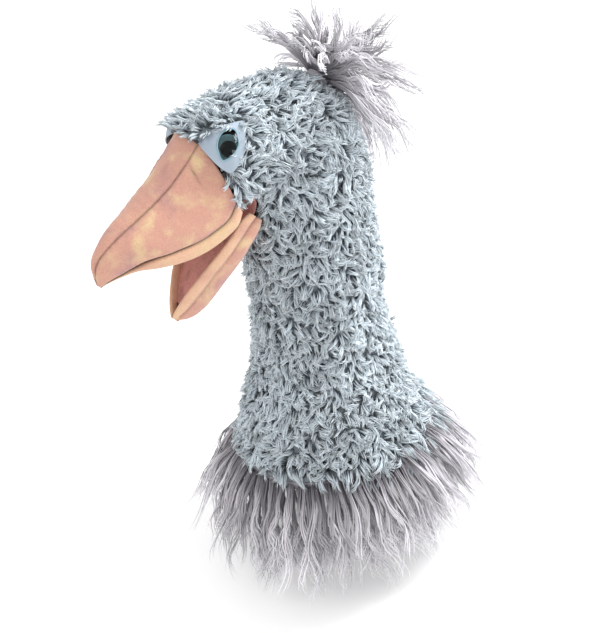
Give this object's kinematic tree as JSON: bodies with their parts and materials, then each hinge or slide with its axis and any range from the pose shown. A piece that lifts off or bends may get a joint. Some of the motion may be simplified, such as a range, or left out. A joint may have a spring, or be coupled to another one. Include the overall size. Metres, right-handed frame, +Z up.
{
  "type": "moving mouth puppet",
  "caption": "Plush bird sleeve puppet with a shaggy neck, a fringed hem, a tufted crest, glossy eyes and a two-part beak that opens by hand.",
  "frame": {"origin": "centre of the arm opening, at the lower edge of its cuff", "axes": "+Z up the sleeve, the puppet looks along -Y, its left side is +X"},
  "size_m": [0.2902, 0.3417, 0.4897],
  "materials": {
    "lining_fabric": "matte",
    "shag": "matte",
    "plush": "matte",
    "stuffing": "matte",
    "eye_patch_fabric": "satin",
    "black_felt": "matte",
    "iris_plastic": "gloss",
    "pupil_plastic": "gloss",
    "clear_lens": "gloss",
    "white_plastic": "satin",
    "beak_velour": "matte",
    "lip_velour": "matte",
    "mouth_terry": "matte",
    "mouth_board": "matte"
  },
  "bodies": {
    "root": {"arm_cuff": "lining_fabric", "fringe_tape": "shag", "hem_binding": "plush", "fringe_locks": "shag", "neck_plush_left": "plush", "neck_plush_right": "plush", "sleeve_lining_lower": "lining_fabric"},
    "collar": {"collar_plush_left": "plush", "collar_plush_right": "plush", "sleeve_lining_upper": "lining_fabric"},
    "head": {"head_plush_left": "plush", "head_plush_right": "plush", "crown_gusset": "plush", "nape_gusset": "plush", "throat_plush": "plush", "head_lining": "lining_fabric", "head_padding": "stuffing", "crest_base": "shag", "crest_locks": "shag", "eye_patch_left": "eye_patch_fabric", "eye_backing_left": "black_felt", "eye_iris_left": "iris_plastic", "eye_pupil_left": "pupil_plastic", "eye_lens_left": "clear_lens", "eye_washer_left": "white_plastic", "eye_patch_right": "eye_patch_fabric", "eye_backing_right": "black_felt", "eye_iris_right": "iris_plastic", "eye_pupil_right": "pupil_plastic", "eye_lens_right": "clear_lens", "eye_washer_right": "white_plastic", "mouth_fold": "mouth_terry"},
    "upper_beak": {"culmen_panel": "beak_velour", "upper_side_left": "beak_velour", "upper_side_right": "beak_velour", "upper_rim_left": "lip_velour", "upper_rim_right": "lip_velour", "upper_stuffing": "stuffing", "finger_pocket": "lining_fabric", "palate_lining": "mouth_terry", "upper_mouth_board": "mouth_board"},
    "lower_beak": {"lower_side_left": "beak_velour", "lower_side_right": "beak_velour", "lower_rim_left": "lip_velour", "lower_rim_right": "lip_velour", "lower_stuffing": "stuffing", "thumb_pocket": "lining_fabric", "mouth_floor_lining": "mouth_terry", "lower_mouth_board": "mouth_board"}
  },
  "joints": [
    {"name": "head_turn", "type": "hinge", "parent": "root", "child": "collar", "pos_m": [0, 0.02257, 0.12802], "axis": [0, 0.1736, 0.9848], "range_deg": [-25, 25]},
    {"name": "head_nod", "type": "hinge", "parent": "collar", "child": "head", "pos_m": [0, 0.0356, 0.20189], "axis": [1, 0, 0], "range_deg": [-15, 15]},
    {"name": "upper_beak_lift", "type": "hinge", "parent": "head", "child": "upper_beak", "pos_m": [0, -0.048, 0.338], "axis": [-1, 0, 0], "range_deg": [-3, 8]},
    {"name": "jaw", "type": "hinge", "parent": "head", "child": "lower_beak", "pos_m": [0, -0.032, 0.268], "axis": [1, 0, 0], "range_deg": [-28, 12]}
  ]
}
